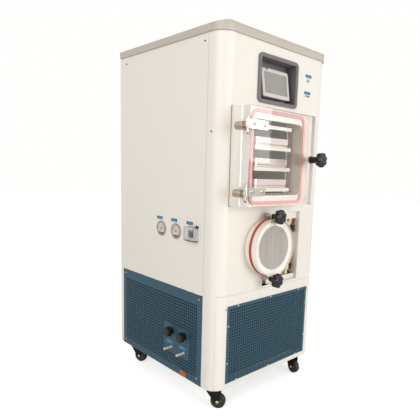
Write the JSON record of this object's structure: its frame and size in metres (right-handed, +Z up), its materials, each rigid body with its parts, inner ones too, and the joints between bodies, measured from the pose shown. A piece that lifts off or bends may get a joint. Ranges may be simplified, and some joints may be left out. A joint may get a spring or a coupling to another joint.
{
  "type": "shelf freeze dryer",
  "caption": "Upright freeze dryer on casters: white cabinet, square vacuum chamber with trays behind a clear hinged door, round cold trap with a clear lid, touch screen and side grilles.",
  "frame": {"origin": "on the floor under the middle of the object's bounding box", "axes": "+Z up, the front with the two clear doors faces -Y, the side with the gauges and valves faces -X"},
  "size_m": [0.697, 0.896, 1.538],
  "materials": {
    "white_paint": "semi-gloss powder coat",
    "cap_paint": "semi-gloss powder coat",
    "blue_mesh": "satin painted perforated sheet",
    "frame_steel": "zinc grey satin",
    "stainless": "polished inside, brushed outside",
    "shelf_metal": "satin",
    "acrylic": "clear polished acrylic",
    "pink_silicone": "satin silicone rubber",
    "red_silicone": "satin silicone rubber",
    "chrome_steel": "polished",
    "black_plastic": "satin",
    "grey_plastic": "satin",
    "screen_plastic": "satin",
    "dark_blue_plastic": "satin",
    "green_lens": "clear coloured lens",
    "orange_plastic": "satin",
    "caster_rubber": "matt",
    "black_enamel": "satin",
    "bare_aluminium": "rolled"
  },
  "bodies": {
    "cabinet": {"chassis": "frame_steel", "front_shell": "white_paint", "lower_front_cover": "white_paint", "front_grille": "blue_mesh", "left_side_panel": "white_paint", "right_side_panel": "white_paint", "left_grille": "blue_mesh", "right_grille": "blue_mesh", "back_panel": "white_paint", "top_cap": "cap_paint", "screen_recess": "grey_plastic", "touch_screen": "screen_plastic", "indicator_lamp": "green_lens", "chamber": "stainless", "chamber_gasket": "pink_silicone", "shelf_1": "shelf_metal", "shelf_2": "shelf_metal", "shelf_3": "shelf_metal", "shelf_4": "shelf_metal", "tray_1": "stainless", "tray_2": "stainless", "tray_3": "stainless", "shelf_rack": "stainless", "trap_barrel": "stainless", "trap_coil": "stainless", "trap_gasket": "red_silicone", "gauge_rear": "chrome_steel", "gauge_front": "chrome_steel", "breaker": "screen_plastic", "air_valve": "chrome_steel", "drain_valve": "chrome_steel", "vacuum_port": "chrome_steel", "compressor": "black_enamel", "condenser": "bare_aluminium"},
    "door": {"chamber_door": "acrylic", "hinge_strap_upper": "chrome_steel", "hinge_strap_lower": "chrome_steel"},
    "door_washer": {"door_clamp_washer": "chrome_steel"},
    "door_screw": {"door_clamp_knob": "black_plastic"},
    "trap_disc": {"trap_door": "acrylic"},
    "upper_trap_washer": {"trap_washer_upper": "chrome_steel"},
    "upper_trap_screw": {"trap_knob_upper": "black_plastic"},
    "lower_trap_washer": {"trap_washer_lower": "chrome_steel"},
    "lower_trap_screw": {"trap_knob_lower": "black_plastic"},
    "toggle": {"breaker_toggle": "dark_blue_plastic"},
    "switch_cover": {"breaker_cover": "acrylic"},
    "air_valve_handle": {"air_valve_knob": "black_plastic"},
    "drain_valve_handle": {"drain_valve_knob": "black_plastic"},
    "port_cap": {"vacuum_port_cap": "orange_plastic"},
    "fan": {"fan_rotor": "black_plastic"},
    "caster_1": {"caster_fork_1": "black_enamel"},
    "wheel_1": {"caster_wheel_1": "caster_rubber"},
    "caster_2": {"caster_fork_2": "black_enamel"},
    "wheel_2": {"caster_wheel_2": "caster_rubber"},
    "caster_3": {"caster_fork_3": "black_enamel"},
    "wheel_3": {"caster_wheel_3": "caster_rubber"},
    "caster_4": {"caster_fork_4": "black_enamel"},
    "wheel_4": {"caster_wheel_4": "caster_rubber"}
  },
  "joints": [
    {"name": "door_hinge", "type": "hinge", "parent": "cabinet", "child": "door", "pos_m": [-0.2685, -0.37995, 1.038], "axis": [0, 0, -1], "range_deg": [0, 110]},
    {"name": "door_screw_travel", "type": "slide", "parent": "door", "child": "door_washer", "axis": [0, -1, 0], "range_m": [0, 0.0101]},
    {"name": "door_screw_turn", "type": "hinge", "parent": "door_washer", "child": "door_screw", "pos_m": [0.12, -0.37995, 1.052], "axis": [0, -1, 0], "range_deg": [0, 2400]},
    {"name": "trap_disc_lift_off", "type": "slide", "parent": "cabinet", "child": "trap_disc", "axis": [0, -1, 0], "range_m": [0, 0.2]},
    {"name": "upper_trap_screw_travel", "type": "slide", "parent": "trap_disc", "child": "upper_trap_washer", "axis": [0, -1, 0], "range_m": [0, 0.0101]},
    {"name": "upper_trap_screw_turn", "type": "hinge", "parent": "upper_trap_washer", "child": "upper_trap_screw", "pos_m": [-0.0395, -0.35095, 0.814], "axis": [0, -1, 0], "range_deg": [0, 2400]},
    {"name": "lower_trap_screw_travel", "type": "slide", "parent": "trap_disc", "child": "lower_trap_washer", "axis": [0, -1, 0], "range_m": [0, 0.0101]},
    {"name": "lower_trap_screw_turn", "type": "hinge", "parent": "lower_trap_washer", "child": "lower_trap_screw", "pos_m": [-0.0395, -0.35095, 0.546], "axis": [0, -1, 0], "range_deg": [0, 2400]},
    {"name": "toggle_rock", "type": "hinge", "parent": "cabinet", "child": "toggle", "pos_m": [-0.3095, -0.12995, 0.735], "axis": [0, 1, 0], "range_deg": [-20, 20]},
    {"name": "switch_cover_hinge", "type": "hinge", "parent": "cabinet", "child": "switch_cover", "pos_m": [-0.313, -0.12995, 0.766], "axis": [0, 1, 0], "range_deg": [0, 85]},
    {"name": "air_valve_turn", "type": "hinge", "parent": "cabinet", "child": "air_valve_handle", "pos_m": [-0.3235, 0.00805, 0.283], "axis": [-1, 0, 0], "range_deg": [0, 90]},
    {"name": "drain_valve_turn", "type": "hinge", "parent": "cabinet", "child": "drain_valve_handle", "pos_m": [-0.3235, -0.08195, 0.283], "axis": [-1, 0, 0], "range_deg": [0, 90]},
    {"name": "port_cap_pull", "type": "slide", "parent": "cabinet", "child": "port_cap", "axis": [-1, 0, 0], "range_m": [0, 0.06]},
    {"name": "fan_spin", "type": "hinge", "parent": "cabinet", "child": "fan", "pos_m": [-0.0235, -0.17995, 0.3], "axis": [0, 1, 0], "continuous": true},
    {"name": "caster_1_swivel", "type": "hinge", "parent": "cabinet", "child": "caster_1", "pos_m": [-0.2555, -0.21295, 0.097], "axis": [0, 0, 1], "continuous": true},
    {"name": "wheel_1_spin", "type": "hinge", "parent": "caster_1", "child": "wheel_1", "pos_m": [-0.23944, -0.23589, 0.032], "axis": [0.8192, 0.5736, 0], "continuous": true},
    {"name": "caster_2_swivel", "type": "hinge", "parent": "cabinet", "child": "caster_2", "pos_m": [0.2685, -0.21295, 0.097], "axis": [0, 0, 1], "continuous": true},
    {"name": "wheel_2_spin", "type": "hinge", "parent": "caster_2", "child": "wheel_2", "pos_m": [0.2646, -0.24068, 0.032], "axis": [0.9903, -0.1392, 0], "continuous": true},
    {"name": "caster_3_swivel", "type": "hinge", "parent": "cabinet", "child": "caster_3", "pos_m": [-0.2555, 0.38405, 0.097], "axis": [0, 0, 1], "continuous": true},
    {"name": "wheel_3_spin", "type": "hinge", "parent": "caster_3", "child": "wheel_3", "pos_m": [-0.24592, 0.35774, 0.032], "axis": [0.9397, 0.342, 0], "continuous": true},
    {"name": "caster_4_swivel", "type": "hinge", "parent": "cabinet", "child": "caster_4", "pos_m": [0.2685, 0.38405, 0.097], "axis": [0, 0, 1], "continuous": true},
    {"name": "wheel_4_spin", "type": "hinge", "parent": "caster_4", "child": "wheel_4", "pos_m": [0.26125, 0.357, 0.032], "axis": [0.9659, -0.2588, 0], "continuous": true}
  ],
  "couplings": [
    {"joint": "door_screw_travel", "follows": "door_screw_turn", "m_per_rad": 0.00023873},
    {"joint": "upper_trap_screw_travel", "follows": "upper_trap_screw_turn", "m_per_rad": 0.00023873},
    {"joint": "lower_trap_screw_travel", "follows": "lower_trap_screw_turn", "m_per_rad": 0.00023873}
  ]
}
